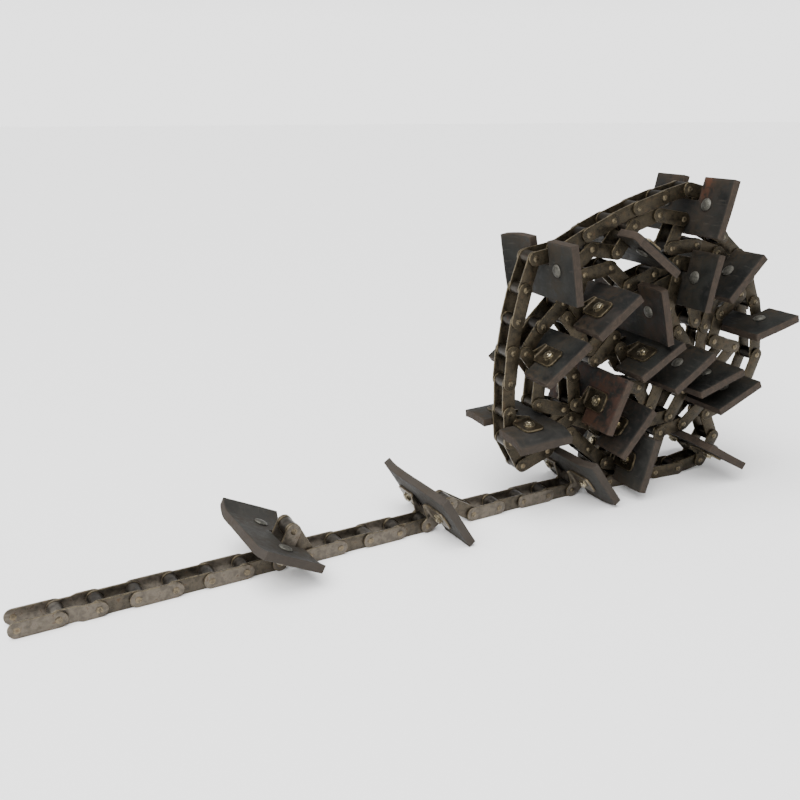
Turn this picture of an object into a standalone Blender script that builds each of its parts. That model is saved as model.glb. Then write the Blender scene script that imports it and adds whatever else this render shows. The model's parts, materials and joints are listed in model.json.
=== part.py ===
"""Grain elevator chain: steel roller chain with bolted rubber paddles, rolled up on the floor.

The chain stands on its edge like a wheel, its pins level, and its free end lies out straight along
the floor. X runs along the coil, Y away from the side that is seen, Z up, and z = 0 is the floor.
Links are numbered from the free end, and link k runs from pin k to pin k + 1. Every sixth link from
link 8 on is an outer link with ears and flanges that carry a paddle.
"""
import math

import bmesh
import bpy
import numpy as np
from mathutils import Matrix, Vector

# chain, metres
PITCH = 0.0384
PLATE_HALF = 0.225 * PITCH      # half the height of a side plate
INNER_IN, INNER_OUT = 0.0095, 0.0121
OUTER_IN, OUTER_OUT = 0.0126, 0.0152
ROLLER_R = 0.0080               # to the corners of its six sides
PIN_R = 0.00345
PIN_GAP = 0.0003                # between a pin and the bush that it turns in
PIN_OUT = 0.0165                # half the length of a pin, heads included

# paddle and what holds it, metres
PADDLE_HALF = 0.071             # half its length across the chain
PADDLE_THICK = 0.0100
NOTCH_HALF = 0.0190
NOTCH_TOP = 0.0105              # past the pin line
CONTACT = 0.0003                # between a paddle and the steel that clamps it
FLANGE_THICK = 0.0026
FLANGE_END = 0.0520
EAR_TOP = 0.0276
BOLT_OUT, BOLT_UP = 0.0360, 0.0145
BOLT_R, HOLE_R, HEAD_R, NUT_R = 0.0030, 0.0033, 0.0080, 0.0062
HEAD_THICK, NUT_THICK = 0.0030, 0.0050

# route of the chain in its own plane, in pitches: s along, z up from the floor's pin line
LINKS = 128
FIRST_PADDLE, PADDLE_EVERY = 8, 6
OUT, IN = 0.49, 1.38            # how far a paddle reaches past the pin line, outward and inward
TAIL_HEADING = {8: 63, 9: -63, 14: 32, 15: -32}     # the links of the tail that don't lie flat
FOLD = {27: 115, 37: 74}        # links of the outer turn that are folded in behind a paddle
OUTER = [                       # paddle links of the tail's root and the outer turn: s, z, heading
    (20, -0.605, 0.294, 36),
    (26, 4.843, 0.603, 60),
    (32, 6.42, 5.38, 106),
    (38, 3.40, 9.72, 166),
    (44, -2.25, 8.02, 190),
    (50, -3.40, 2.52, 275),
]
INNER = [                       # where the paddle links further in would lie if nothing pushed them
    (56, 0.95, 0.72, -22),
    (62, 5.08, 2.95, 113),
    (68, 4.50, 7.10, 168),
    (74, 0.80, 8.70, 235),
    (80, -2.30, 4.75, -45),
    (86, 0.30, 1.72, -45),
    (92, 4.40, 3.60, 114),
    (98, 3.20, 7.30, 192),
    (104, -1.00, 6.00, -50),
    (110, -0.45, 2.75, 0),
    (116, 3.10, 4.20, 122),
    (122, 1.10, 6.60, 238),
    (128, 0.90, 4.30, -45),
]
CENTRE = np.array([1.5, 4.8])   # of the coil
FIRST, LOOSE = 20, 52           # first link and first pin that the pieces further in can push
ROOM = 0.03                     # kept between neighbours
TAIL_YAW = math.radians(6.3)    # the tail's turn from the coil's plane, towards the seen side
YAW_TO, YAW_FROM = 17, 24       # spread over the joints between these links

STEEL = ((0.105, 0.086, 0.066, 1.0), 0.55, 0.85)
RUBBER = ((0.045, 0.044, 0.043, 1.0), 0.80, 0.0)


def turned(point, heading, length):
    return point[0] + length * math.cos(heading), point[1] + length * math.sin(heading)


def strand_pins(a, b, count):
    """Pins from a to b over count links, each joint turned by the same angle."""
    want = math.dist(a, b)

    def reach(turn):
        return sum(math.cos(turn * i) for i in range(count)), sum(math.sin(turn * i) for i in range(count))

    low, high = 0.0, 1.25
    for _ in range(60):
        middle = (low + high) / 2
        if math.hypot(*reach(middle)) > want:
            low = middle
        else:
            high = middle
    x, y = reach(low)
    first = math.atan2(b[1] - a[1], b[0] - a[0]) - math.atan2(y, x)
    points = [a]
    for i in range(count):
        points.append(turned(points[-1], first + low * i, 1))
    return points


def floor_pins(a, count, last):
    """Pins from a raised one down to the floor, along it, and up to the height of the last."""
    points = [a, (a[0] + math.sqrt(1 - a[1] ** 2), 0.0)]
    for _ in range(count - 2):
        points.append((points[-1][0] + 1, 0.0))
    points.append((points[-1][0] + math.sqrt(1 - last ** 2), last))
    return points


def curved_pins(a, b, count):
    """Pins from a to b that keep their order around the coil's centre, as a first guess."""
    ra, rb = np.array(a) - CENTRE, np.array(b) - CENTRE
    ta, tb = math.atan2(ra[1], ra[0]), math.atan2(rb[1], rb[0])
    while tb < ta - 0.3:
        tb += 2 * math.pi
    points = []
    for i in range(count + 1):
        part = i / count
        r = np.linalg.norm(ra) * (1 - part) + np.linalg.norm(rb) * part
        t = ta + (tb - ta) * part
        points.append(tuple(CENTRE + r * np.array([math.cos(t), math.sin(t)])))
    return points


def first_guess():
    pins = np.zeros((LINKS + 2, 2))
    before, leave = None, None
    for number, s, z, turn in OUTER + INNER:
        heading = math.radians(turn)
        a = turned((s, z), heading, -0.5)
        b = turned((s, z), heading, 0.5)
        if before is not None:
            left, right, start, end = before + 1, number, leave, a
            if left in FOLD:
                pins[left] = start
                start = turned(start, math.radians(FOLD[left]), 1)
                left += 1
            if right - 1 in FOLD:
                right -= 1
                end = turned(end, math.radians(FOLD[right]), -1)
            if number == OUTER[1][0]:
                run = floor_pins(start, right - left, end[1])
            elif number <= OUTER[-1][0]:
                run = strand_pins(start, end, right - left)
            else:
                run = curved_pins(start, end, right - left)
            for i, point in enumerate(run):
                pins[left + i] = point
        pins[number] = a
        pins[number + 1] = b
        before, leave = number, b
    return pins


def closest(p1, q1, p2, q2):
    """Where two segments come nearest, as a share of each, for many pairs at once."""
    d1, d2, r = q1 - p1, q2 - p2, p1 - p2
    a, e, f = (d1 * d1).sum(1), (d2 * d2).sum(1), (d2 * r).sum(1)
    c, b = (d1 * r).sum(1), (d1 * d2).sum(1)
    den = a * e - b * b
    s = np.where(den > 1e-9, np.clip((b * f - c * e) / np.where(den > 1e-9, den, 1), 0, 1), 0.5)
    t = np.clip((b * s + f) / e, 0, 1)
    s = np.clip((b * t - c) / a, 0, 1)
    t = np.clip((b * s + f) / e, 0, 1)
    return s, t


# what a piece takes up seen from the side: offset along its link, from and to across it, radius
LINK, PAD, EAR, HEAD = range(4)
TAKES = {LINK: (0.0, 0.0, 0.0, 0.225), PAD: (0.0, -OUT, IN, 0.13), EAR: (-0.27, 0.12, 0.60, 0.14),
         HEAD: (0.17, 0.22, 0.58, 0.05)}


def coil_pins(steps=3500, hold=0.05):
    """Pins of the coil, with every link, paddle, ear and bolt head pushed clear of the others."""
    x = first_guess()
    links = np.arange(FIRST, LINKS + 1)
    pads = np.array([row[0] for row in OUTER + INNER])
    target = x.copy()
    number = np.concatenate([links, pads, pads, pads])
    kind = np.concatenate([np.full(len(links), LINK)] + [np.full(len(pads), k) for k in (PAD, EAR, HEAD)])
    off, low, high, radius = (np.array([TAKES[k][i] for k in kind]) for i in range(4))
    i_, j_ = np.triu_indices(len(kind), 1)
    ki, kj, apart = kind[i_], kind[j_], np.abs(number[i_] - number[j_])
    keep = (ki == LINK) & (kj == LINK) & (apart >= 2)
    keep |= (ki == LINK) & (kj == PAD) & (apart >= 1)
    keep |= (ki == PAD) & (kj == PAD)
    keep |= (ki == LINK) & (kj == EAR) & (apart >= 2)
    keep |= (ki == PAD) & (kj >= EAR) & (apart >= 1)
    keep &= (number[i_] >= LOOSE - 1) | (number[j_] >= LOOSE - 1)
    i_, j_, ki, kj, apart = (a[keep] for a in (i_, j_, ki, kj, apart))
    need = radius[i_] + radius[j_] + ROOM
    need = np.where((ki == LINK) & (kj == LINK) & (apart == 2), 0.42, need)
    free = (np.arange(len(x)) >= LOOSE).astype(float)
    deeper = np.where(number[j_] > number[i_], 1.0, -1.0)
    notch = (ki == LINK) & (kj == PAD)
    is_link = (kind == LINK)[:, None]
    for step in range(steps):
        size = min(1.0, 0.35 + 0.65 * step / (0.5 * steps))
        c = (x[number] + x[number + 1]) / 2
        u = x[number + 1] - x[number]
        u /= np.linalg.norm(u, axis=1)[:, None]
        n = np.stack([-u[:, 1], u[:, 0]], 1)
        p = c + off[:, None] * u + np.where(is_link, -0.5 * u, low[:, None] * n)
        q = c + off[:, None] * u + np.where(is_link, 0.5 * u, high[:, None] * n)
        pj = np.where(notch[:, None], c[j_] + 0.30 * n[j_], p[j_])
        s, t = closest(p[i_], q[i_], pj, q[j_])
        at_i = p[i_] + (q[i_] - p[i_]) * s[:, None]
        at_j = pj + (q[j_] - pj) * t[:, None]
        gap = at_i - at_j
        dist = np.linalg.norm(gap, axis=1)
        wanted = need * size
        hit = np.where(dist < wanted)[0]
        if len(hit):
            move = np.zeros_like(x)
            count = np.zeros(len(x))
            way = gap[hit] / np.maximum(dist[hit], 1e-6)[:, None]
            crossed = dist[hit] < 0.06
            middle = (at_i[hit] + at_j[hit]) / 2 - CENTRE
            outward = middle / np.maximum(np.linalg.norm(middle, axis=1), 1e-6)[:, None]
            way = np.where(crossed[:, None], outward * deeper[hit][:, None], way)
            push = (wanted[hit] - dist[hit])[:, None] * way * 0.5
            for which, share, sign in ((i_[hit], s[hit], 1.0), (j_[hit], t[hit], -1.0)):
                force = push * sign
                on_link = kind[which] == LINK
                k = number[which[on_link]]
                part = share[on_link][:, None]
                weight = (1 - part) ** 2 + part ** 2
                np.add.at(move, k, force[on_link] * (1 - part) / weight)
                np.add.at(move, k + 1, force[on_link] * part / weight)
                np.add.at(count, k, 1)
                np.add.at(count, k + 1, 1)
                other = ~on_link
                piece = which[other]
                k = number[piece]
                from_ = low[piece]
                if sign < 0:
                    from_ = np.where(notch[hit][other], 0.30, from_)
                arm = from_ + (high[piece] - from_) * share[other]
                along = (force[other] * u[piece]).sum(1)
                across = (force[other] * n[piece]).sum(1)
                shift = (0.25 * along / (0.25 + arm ** 2))[:, None] * u[piece] + across[:, None] * n[piece]
                swing = (-arm * along / (0.25 + arm ** 2) * 0.5)[:, None] * n[piece]
                np.add.at(move, k, shift - swing)
                np.add.at(move, k + 1, shift + swing)
                np.add.at(count, k, 1)
                np.add.at(count, k + 1, 1)
            x = x + move / np.maximum(count, 1)[:, None] * 1.3 * free[:, None]
        pull = hold * max(0.0, 1 - step / (0.7 * steps))
        for k in (pads, pads + 1):
            x[k] += (target[k] - x[k]) * pull * free[pads][:, None]
        for _ in range(8):
            for odd in (0, 1):
                k = links[(links % 2) == odd]
                k = k[k >= LOOSE - 1]
                way = x[k + 1] - x[k]
                length = np.linalg.norm(way, axis=1)
                both = np.maximum(free[k] + free[k + 1], 1)
                error = ((length - 1) / np.maximum(length, 1e-9))[:, None] * way
                x[k] += error * (free[k] / both)[:, None]
                x[k + 1] -= error * (free[k + 1] / both)[:, None]
    return x


def yaw_of(number):
    if number >= YAW_FROM:
        return 0.0
    return TAIL_YAW * min(1.0, (YAW_FROM - number) / (YAW_FROM - YAW_TO))


def link_frames():
    """A matrix for each link: x along it, y across the chain, z to the coil's inside, at its middle."""
    flat = coil_pins()
    pins = {k: Vector((flat[k][0] * PITCH, 0, flat[k][1] * PITCH + PLATE_HALF))
            for k in range(YAW_FROM, LINKS + 2)}
    heading = {}
    for k in range(YAW_FROM - 1, 0, -1):
        if k >= FIRST:
            heading[k] = math.atan2(flat[k + 1][1] - flat[k][1], flat[k + 1][0] - flat[k][0])
        else:
            heading[k] = math.radians(TAIL_HEADING.get(k, 0))
        h, yaw = heading[k], yaw_of(k)
        pins[k] = pins[k + 1] - PITCH * Vector(
            (math.cos(h) * math.cos(yaw), math.cos(h) * math.sin(yaw), math.sin(h)))
    frames = {}
    for k in range(1, LINKS + 1):
        u = (pins[k + 1] - pins[k]).normalized()
        yaw = yaw_of(k)
        v = Vector((-math.sin(yaw), math.cos(yaw), 0))
        n = u.cross(v)
        frame = Matrix((u, v, n)).transposed().to_4x4()
        frame.translation = (pins[k] + pins[k + 1]) / 2
        frames[k] = frame
    return frames


def solid_outline(name, points, thick):
    """A closed plate from a flat outline in XY, as thick in Z."""
    curve = bpy.data.curves.new(name, "CURVE")
    curve.dimensions = "2D"
    curve.fill_mode = "BOTH"
    curve.extrude = thick / 2
    spline = curve.splines.new("POLY")
    spline.points.add(len(points) - 1)
    for point, (x, y) in zip(spline.points, points):
        point.co = (x, y, 0, 1)
    spline.use_cyclic_u = True
    holder = bpy.data.objects.new(name, curve)
    bpy.context.scene.collection.objects.link(holder)
    graph = bpy.context.evaluated_depsgraph_get()
    mesh = bpy.data.meshes.new_from_object(holder.evaluated_get(graph))
    bpy.data.objects.remove(holder)
    bpy.data.curves.remove(curve)
    bm = bmesh.new()
    bm.from_mesh(mesh)
    bmesh.ops.remove_doubles(bm, verts=bm.verts, dist=1e-6)
    bmesh.ops.dissolve_limit(bm, angle_limit=0.01, verts=bm.verts, edges=bm.edges)
    bmesh.ops.recalc_face_normals(bm, faces=bm.faces)
    bm.to_mesh(mesh)
    bm.free()
    return mesh


def solid_rod(name, radius, length, sides, rounded=True):
    """A closed rod along Z. The radius is to its corners, and a round one is shaded smooth."""
    mesh = bpy.data.meshes.new(name)
    bm = bmesh.new()
    bmesh.ops.create_cone(bm, cap_ends=True, cap_tris=False, segments=sides, radius1=radius,
                          radius2=radius, depth=length)
    bm.normal_update()
    for face in bm.faces:
        face.smooth = rounded and abs(face.normal.z) < 0.5
    bm.to_mesh(mesh)
    bm.free()
    return mesh


ACROSS = Matrix.Rotation(math.radians(90), 4, "X")      # an outline's XY to a link's x and z
FACING = Matrix(((0, 0, 1, 0), (1, 0, 0, 0), (0, 1, 0, 0), (0, 0, 0, 1)))   # to its y and z
ALONG = Matrix.Rotation(math.radians(90), 4, "Y")       # a rod's Z to a link's x


def stadium(length, half):
    """A long outline with coarse round ends, whose corners line up with the roller's."""
    corners = [math.radians(a) for a in (-90, -30, 30, 90)]
    right = [(length / 2 + half * math.cos(a), half * math.sin(a)) for a in corners]
    return right + [(-x, -y) for x, y in right]


def ear_outline():
    """A side plate with the ear that rises on its trailing half up to the paddle's face."""
    face = -PADDLE_THICK / 2 - CONTACT
    right = stadium(PITCH, PLATE_HALF)[:4]
    left = [(-x, -y) for x, y in right]
    face -= 0.0006
    top = EAR_TOP - 0.0004
    ear = [(face, PLATE_HALF), (face, top), (face - 0.0034, top), (-0.40 * PITCH, PLATE_HALF)]
    return right + ear + left[1:]


def flange_outline(side):
    chamfer = 0.005
    inner, outer, low = OUTER_IN + 0.0008, FLANGE_END, 0.0015
    points = [(inner, low), (outer - chamfer, low), (outer, low + chamfer), (outer, EAR_TOP - chamfer),
              (outer - chamfer, EAR_TOP), (inner, EAR_TOP)]
    return points if side > 0 else [(-y, z) for y, z in reversed(points)]


def half_plate(side):
    """Half a side plate, for the cranked link: side 1 is the end towards pin k + 1."""
    arc = stadium(PITCH, PLATE_HALF)[:4]
    reach = 0.06 * PITCH
    points = arc + [(-reach, PLATE_HALF), (-reach, -PLATE_HALF)]
    return points if side > 0 else [(-x, -y) for x, y in points]


class Shapes:
    """Meshes shared by all links, in a link's own frame before they are moved into place."""

    def __init__(self):
        self.outer = solid_outline("outer_plate", stadium(PITCH, PLATE_HALF), OUTER_OUT - OUTER_IN)
        self.inner = solid_outline("inner_plate", stadium(PITCH, PLATE_HALF), INNER_OUT - INNER_IN)
        self.eared = solid_outline("eared_plate", ear_outline(), OUTER_OUT - OUTER_IN)
        self.flange = {s: solid_outline("flange", flange_outline(s), FLANGE_THICK) for s in (1, -1)}
        self.half = {s: solid_outline("half_plate", half_plate(s), OUTER_OUT - OUTER_IN) for s in (1, -1)}
        self.pin = solid_rod("pin", PIN_R, 2 * PIN_OUT, 6)
        self.stub = solid_rod("stub", PIN_R, 2 * OUTER_OUT - 0.0020, 6)
        self.roller = solid_rod("roller", ROLLER_R, 2 * INNER_IN + 0.001, 6)
        self.bore = solid_rod("bore", (PIN_R + PIN_GAP) / math.cos(math.pi / 6), 0.06, 6)
        self.hole = solid_rod("hole", HOLE_R / math.cos(math.pi / 6), 0.02, 6)
        shank = HEAD_THICK + PADDLE_THICK + 2 * CONTACT + FLANGE_THICK + NUT_THICK - 0.002
        self.shank = solid_rod("shank", BOLT_R, shank, 6)
        self.head = solid_rod("head", HEAD_R, HEAD_THICK, 6)
        self.nut = solid_rod("nut", NUT_R, NUT_THICK + 0.0004, 6, rounded=False)


def lay(bm, mesh, *matrices):
    """Adds a copy of a mesh, moved by the matrices from left to right outermost first."""
    total = Matrix.Identity(4)
    for matrix in matrices:
        total = total @ matrix
    have = set(bm.verts)
    bm.from_mesh(mesh)
    bmesh.ops.transform(bm, matrix=total, verts=[v for v in bm.verts if v not in have])


def moved(x=0.0, y=0.0, z=0.0):
    return Matrix.Translation((x, y, z))


def add_outer(body, rods, shapes, frame, eared, heads):
    middle = (OUTER_IN + OUTER_OUT) / 2
    for side in (1, -1):
        lay(body, shapes.eared if eared else shapes.outer, frame, moved(y=side * middle), ACROSS)
    for end in (-PITCH / 2, PITCH / 2):
        lay(rods, shapes.pin if heads else shapes.stub, frame, moved(x=end), ACROSS)
    if not eared:
        return
    back = -PADDLE_THICK / 2 - CONTACT
    front = -back
    for side in (1, -1):
        lay(body, shapes.flange[side], frame, moved(x=back - FLANGE_THICK / 2), FACING)
        bolt = moved(y=side * BOLT_OUT, z=BOLT_UP)
        lay(body, shapes.head, frame, bolt, moved(x=front + HEAD_THICK / 2), ALONG)
        nut_at = back - FLANGE_THICK - NUT_THICK / 2 + 0.0002
        lay(body, shapes.nut, frame, bolt, moved(x=nut_at), ALONG)
        ends = (front + HEAD_THICK - 0.001, back - FLANGE_THICK - NUT_THICK + 0.001)
        lay(rods, shapes.shank, frame, bolt, moved(x=sum(ends) / 2), ALONG)


def add_inner(body, rods, shapes, frame):
    middle = (INNER_IN + INNER_OUT) / 2
    for side in (1, -1):
        lay(body, shapes.inner, frame, moved(y=side * middle), ACROSS)
    for end in (-PITCH / 2, PITCH / 2):
        lay(rods, shapes.roller, frame, moved(x=end), ACROSS)


def add_cranked(body, rods, shapes, frame):
    """The offset link: narrow at pin k, wide at pin k + 1."""
    narrow, wide = (INNER_IN + INNER_OUT) / 2, (OUTER_IN + OUTER_OUT) / 2
    for side in (1, -1):
        lay(body, shapes.half[-1], frame, moved(y=side * narrow), ACROSS)
        lay(body, shapes.half[1], frame, moved(y=side * wide), ACROSS)
        step = solid_outline("step", [(-0.0021, -0.0083), (0.0021, -0.0083), (0.0021, 0.0083),
                                      (-0.0021, 0.0083)], OUTER_OUT - INNER_IN - 0.0006)
        lay(body, step, frame, moved(y=side * (OUTER_OUT + INNER_IN) / 2), ACROSS)
    lay(rods, shapes.roller, frame, moved(x=-PITCH / 2), ACROSS)
    lay(rods, shapes.pin, frame, moved(x=PITCH / 2), ACROSS)


def material(name, look):
    colour, rough, metal = look
    made = bpy.data.materials.new(name)
    made.use_nodes = True
    shader = made.node_tree.nodes["Principled BSDF"]
    shader.inputs["Base Color"].default_value = colour
    shader.inputs["Roughness"].default_value = rough
    shader.inputs["Metallic"].default_value = metal
    made.diffuse_color = colour
    return made


class Builder:
    def __init__(self):
        for old in list(bpy.data.objects):
            bpy.data.objects.remove(old)
        scene = bpy.context.scene.collection
        self.parts = bpy.data.collections.new("elevator_chain")
        self.tools = bpy.data.collections.new("cutters")
        scene.children.link(self.parts)
        scene.children.link(self.tools)
        self.tools.hide_render = True
        self.steel = material("chain_steel", STEEL)
        self.rubber = material("paddle_rubber", RUBBER)

    def mesh_from(self, name, bm, frame):
        """A mesh from world coordinates, put in the frame's own."""
        bmesh.ops.transform(bm, matrix=frame.inverted(), verts=bm.verts)
        bmesh.ops.recalc_face_normals(bm, faces=bm.faces)
        mesh = bpy.data.meshes.new(name)
        bm.to_mesh(mesh)
        bm.free()
        return mesh

    def place(self, name, bm, frame, look):
        obj = bpy.data.objects.new(name, self.mesh_from(name, bm, frame))
        obj.data.materials.append(look)
        obj.matrix_world = frame
        self.parts.objects.link(obj)
        return obj

    def tool(self, name, bm, frame):
        obj = bpy.data.objects.new(name, self.mesh_from(name, bm, frame))
        obj.matrix_world = frame
        obj.hide_render = True
        obj.display_type = "WIRE"
        self.tools.objects.link(obj)
        return obj

    def join(self, obj, other, way):
        modifier = obj.modifiers.new(way.lower(), "BOOLEAN")
        modifier.operation = way
        modifier.solver = "EXACT"
        modifier.use_self = way == "UNION"
        modifier.object = other

    def centre(self):
        """Moves everything so that the origin is under the middle of the whole, on the floor."""
        corners = [obj.matrix_world @ v.co for obj in self.parts.objects for v in obj.data.vertices]
        low = Vector([min(c[i] for c in corners) for i in range(3)])
        high = Vector([max(c[i] for c in corners) for i in range(3)])
        middle = (low + high) / 2
        shift = Matrix.Translation((-middle.x, -middle.y, -low.z))
        for obj in list(self.parts.objects) + list(self.tools.objects):
            obj.matrix_world = shift @ obj.matrix_world

    def steel_piece(self, name, body, rods, bores, frame):
        """One solid: the body's shells and the rods joined, then the bores cut through."""
        obj = self.place(name, body, frame, self.steel)
        if rods.verts:
            self.join(obj, self.tool(name + "_rods", rods, frame), "UNION")
        else:
            rods.free()
        if bores.verts:
            self.join(obj, self.tool(name + "_bores", bores, frame), "DIFFERENCE")
        else:
            bores.free()
        flatten = obj.modifiers.new("flatten", "DECIMATE")
        flatten.decimate_type = "DISSOLVE"
        flatten.angle_limit = math.radians(1)
        return obj


def at_pin(frame, end):
    """The link's frame moved to its pin k (end -1) or pin k + 1 (end 1)."""
    return frame @ moved(x=end * PITCH / 2)


def tail_link(build, shapes, frames, k):
    body, rods, bores = bmesh.new(), bmesh.new(), bmesh.new()
    frame = frames[k]
    if k == 1:
        for side in (1, -1):
            lay(body, shapes.outer, frame, moved(y=side * (OUTER_IN + OUTER_OUT) / 2), ACROSS)
        lay(rods, shapes.pin, frame, moved(x=PITCH / 2), ACROSS)
    elif k == 2:
        add_cranked(body, rods, shapes, frame)
        lay(bores, shapes.bore, frame, moved(x=-PITCH / 2), ACROSS)
    elif k % 2:
        add_inner(body, rods, shapes, frame)
        for end in (-PITCH / 2, PITCH / 2):
            lay(bores, shapes.bore, frame, moved(x=end), ACROSS)
    else:
        add_outer(body, rods, shapes, frame, has_paddle(k), True)
    build.steel_piece("link_%02d" % k, body, rods, bores, at_pin(frame, 1))


def has_paddle(k):
    return k >= FIRST_PADDLE and (k - FIRST_PADDLE) % PADDLE_EVERY == 0


def strand(build, shapes, frames, k):
    """Paddle link k and the five plain links after it, joined at their pins."""
    body, rods, bores = bmesh.new(), bmesh.new(), bmesh.new()
    last = min(k + PADDLE_EVERY - 1, LINKS)
    add_outer(body, rods, shapes, frames[k], True, False)
    for i in range(k + 1, last + 1):
        if i % 2:
            add_inner(body, rods, shapes, frames[i])
        else:
            add_outer(body, rods, shapes, frames[i], False, False)
    if last > k:
        lay(bores, shapes.bore, frames[last], moved(x=PITCH / 2), ACROSS)
    build.steel_piece("strand_%03d" % k, body, rods, bores, at_pin(frames[k], -1))


def paddle(build, shapes, frames, k):
    low, high = -OUT * PITCH, IN * PITCH
    outline = [(-PADDLE_HALF, low), (-NOTCH_HALF, low), (-NOTCH_HALF, NOTCH_TOP), (NOTCH_HALF, NOTCH_TOP),
               (NOTCH_HALF, low), (PADDLE_HALF, low), (PADDLE_HALF, high), (-PADDLE_HALF, high)]
    mesh = solid_outline("paddle", outline, PADDLE_THICK)
    body, holes = bmesh.new(), bmesh.new()
    lay(body, mesh, frames[k], FACING)
    obj = build.place("paddle_%03d" % k, body, frames[k], build.rubber)
    for side in (1, -1):
        lay(holes, shapes.hole, frames[k], moved(y=side * BOLT_OUT, z=BOLT_UP), ALONG)
    build.join(obj, build.tool("paddle_%03d_holes" % k, holes, frames[k]), "DIFFERENCE")


def main():
    build = Builder()
    shapes = Shapes()
    frames = link_frames()
    for k in range(1, FIRST):
        tail_link(build, shapes, frames, k)
    for k in range(FIRST, LINKS + 1, PADDLE_EVERY):
        strand(build, shapes, frames, k)
    for k in range(FIRST_PADDLE, LINKS + 1, PADDLE_EVERY):
        paddle(build, shapes, frames, k)
    build.centre()


main()
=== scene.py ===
# %% [markdown]
# # A grain elevator chain, rolled up
# The real object is a steel roller chain from a grain elevator. Every sixth link is bent out into
# flanges that carry a rubber paddle. It was rolled up like a wheel and stood on its edge, and its
# free end lies out straight along the floor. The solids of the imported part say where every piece
# is. This script dresses them with rounder shapes and with finishes, and never moves them.

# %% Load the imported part
import json
import math

import bmesh
import bpy
import numpy as np
from mathutils import Matrix, Vector, noise

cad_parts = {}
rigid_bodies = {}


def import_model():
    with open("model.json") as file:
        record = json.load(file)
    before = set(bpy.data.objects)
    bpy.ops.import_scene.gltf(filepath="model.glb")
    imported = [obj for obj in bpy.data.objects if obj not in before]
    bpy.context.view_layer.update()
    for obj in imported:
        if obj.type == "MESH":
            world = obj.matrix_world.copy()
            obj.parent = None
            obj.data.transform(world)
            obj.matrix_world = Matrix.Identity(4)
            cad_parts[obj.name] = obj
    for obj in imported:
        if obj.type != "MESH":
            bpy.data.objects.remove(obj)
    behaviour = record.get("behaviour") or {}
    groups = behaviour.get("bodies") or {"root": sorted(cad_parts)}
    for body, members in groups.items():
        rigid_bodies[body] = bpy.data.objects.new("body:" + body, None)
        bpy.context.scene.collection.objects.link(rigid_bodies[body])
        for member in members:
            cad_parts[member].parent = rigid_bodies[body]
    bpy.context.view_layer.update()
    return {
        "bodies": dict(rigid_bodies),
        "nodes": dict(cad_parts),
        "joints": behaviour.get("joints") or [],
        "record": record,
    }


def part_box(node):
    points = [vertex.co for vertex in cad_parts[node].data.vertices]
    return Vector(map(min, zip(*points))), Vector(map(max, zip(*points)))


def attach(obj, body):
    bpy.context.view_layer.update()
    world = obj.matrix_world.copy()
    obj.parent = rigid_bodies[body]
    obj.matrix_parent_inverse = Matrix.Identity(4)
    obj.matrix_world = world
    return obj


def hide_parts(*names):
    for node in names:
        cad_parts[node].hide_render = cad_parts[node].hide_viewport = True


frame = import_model()

# %% [markdown]
# ## Sizes
# A roller chain is drawn from its pitch, the distance between two pins. Everything here is in
# metres, with the same values as in the part's source, so that each fine piece lands on its solid.

# %% Sizes of the chain and the paddles
PITCH = 0.0384
HALF = PITCH / 2
PLATE_HALF = 0.225 * PITCH
INNER_IN, INNER_OUT = 0.0095, 0.0121
OUTER_IN, OUTER_OUT = 0.0126, 0.0152
ROLLER_R, BUSH_R, PIN_OUT = 0.00795, 0.0052, 0.0165
PADDLE_HALF, PADDLE_THICK = 0.071, 0.010
NOTCH_HALF, NOTCH_TOP, CONTACT = 0.0190, 0.0105, 0.0003
FLANGE_THICK, FLANGE_END, EAR_TOP = 0.0026, 0.0520, 0.0276
BOLT_OUT, BOLT_UP, HEAD_R, NUT_R = 0.0360, 0.0145, 0.0080, 0.0062
HEAD_THICK, NUT_THICK = 0.0030, 0.0050
PADDLE_BACK = -PADDLE_THICK / 2 - CONTACT       # where the flanges lie against it
WORN = 0.0005                                   # radius of a worn edge of steel
print("one link is", PITCH * 1000, "mm long and", round(2 * PLATE_HALF * 1000, 2), "mm high")

# %% [markdown]
# ## The way the chain lies
# The chain lies in one upright plane, so its route is a list of pins in two dimensions, one pitch
# apart. Only the links with a paddle are given, six links from one to the next, and the links
# between follow from them. The route is worked out here by the same rule as in the part's source
# and not pasted in, so that the reader sees where the numbers come from.

# %% Where the chain lies, in pitches
# s is along the floor and z is up from the floor's pin line, both in pitches, headings in degrees
LINKS = 128
FIRST_PADDLE, PADDLE_EVERY = 8, 6
OUT, IN = 0.49, 1.38            # how far a paddle reaches past the pin line, outward and inward
TAIL_HEADING = {8: 63, 9: -63, 14: 32, 15: -32}     # the links of the tail that don't lie flat
FOLD = {27: 115, 37: 74}        # links of the outer turn that are folded in behind a paddle
OUTER = [                       # paddle links of the tail's root and the outer turn: link, s, z, heading
    (20, -0.605, 0.294, 36),
    (26, 4.843, 0.603, 60),
    (32, 6.42, 5.38, 106),
    (38, 3.40, 9.72, 166),
    (44, -2.25, 8.02, 190),
    (50, -3.40, 2.52, 275),
]
INNER = [                       # where the paddle links further in would lie if nothing pushed them
    (56, 0.95, 0.72, -22),
    (62, 5.08, 2.95, 113),
    (68, 4.50, 7.10, 168),
    (74, 0.80, 8.70, 235),
    (80, -2.30, 4.75, -45),
    (86, 0.30, 1.72, -45),
    (92, 4.40, 3.60, 114),
    (98, 3.20, 7.30, 192),
    (104, -1.00, 6.00, -50),
    (110, -0.45, 2.75, 0),
    (116, 3.10, 4.20, 122),
    (122, 1.10, 6.60, 238),
    (128, 0.90, 4.30, -45),
]
CENTRE = np.array([1.5, 4.8])   # of the coil
FIRST, LOOSE = 20, 52           # first link and first pin that the pieces further in can push
ROOM = 0.03                     # kept between neighbours
TAIL_YAW = math.radians(6.3)    # the tail's turn from the coil's plane, towards the seen side
YAW_TO, YAW_FROM = 17, 24       # spread over the joints between these links
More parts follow.
